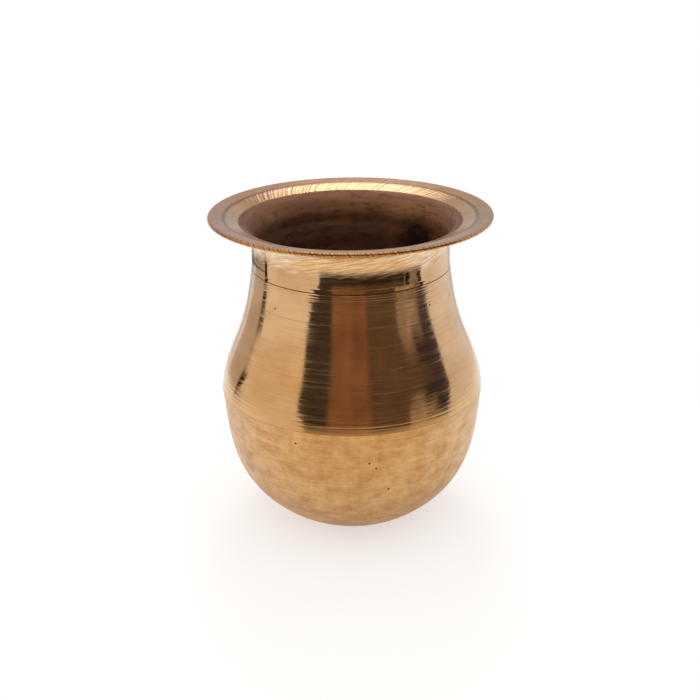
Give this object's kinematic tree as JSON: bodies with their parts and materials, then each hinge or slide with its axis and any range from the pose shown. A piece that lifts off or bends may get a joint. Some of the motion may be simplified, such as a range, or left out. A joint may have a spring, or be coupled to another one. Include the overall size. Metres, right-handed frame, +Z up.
{
  "type": "lota",
  "caption": "Small round-bellied brass water pot with a narrow neck, a wide thin lip and a rounded bottom with a flat standing ring, turned from brazed shells.",
  "frame": {"origin": "centre of the flat ring that the pot stands on, on the pot's axis", "axes": "+Z up along the pot's axis, X and Y across it"},
  "size_m": [0.1, 0.1, 0.1147],
  "materials": {
    "scoured_brass": "satin, scoured by hand, with small pits",
    "polished_brass": "polished on the lathe, with fine turned lines",
    "lip_brass": "brushed, warmer and browner than the body",
    "brazing_metal": "turned flush with the shells beside it"
  },
  "bodies": {
    "root": {"lower_bowl": "scoured_brass", "upper_body": "polished_brass", "flared_mouth": "lip_brass", "belly_braze": "brazing_metal", "neck_braze": "brazing_metal"}
  },
  "joints": []
}
